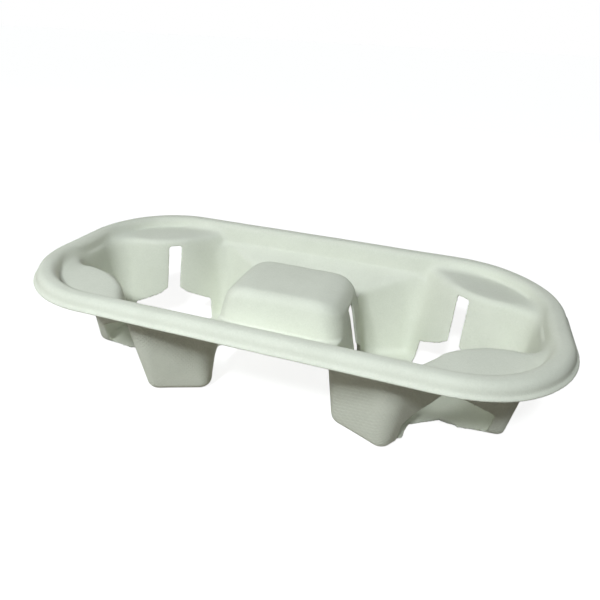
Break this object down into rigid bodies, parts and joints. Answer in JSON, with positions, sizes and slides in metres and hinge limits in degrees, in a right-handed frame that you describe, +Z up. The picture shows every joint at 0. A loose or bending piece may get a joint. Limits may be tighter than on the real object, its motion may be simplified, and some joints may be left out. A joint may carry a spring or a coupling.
{
  "type": "cup carrier",
  "caption": "Moulded pulp carrier tray with a rolled oval rim, a raised hump in the middle and a slit, three-lobed well on each side for a takeaway cup.",
  "frame": {"origin": "under the middle of the carrier, on the plane that its feet stand on", "axes": "+X along the carrier's length from one well to the other, +Y across it, +Z up"},
  "size_m": [0.21, 0.1056, 0.047],
  "materials": {
    "pulp": "matte moulded pulp"
  },
  "bodies": {
    "root": {"cup_carrier": "pulp"}
  },
  "joints": []
}
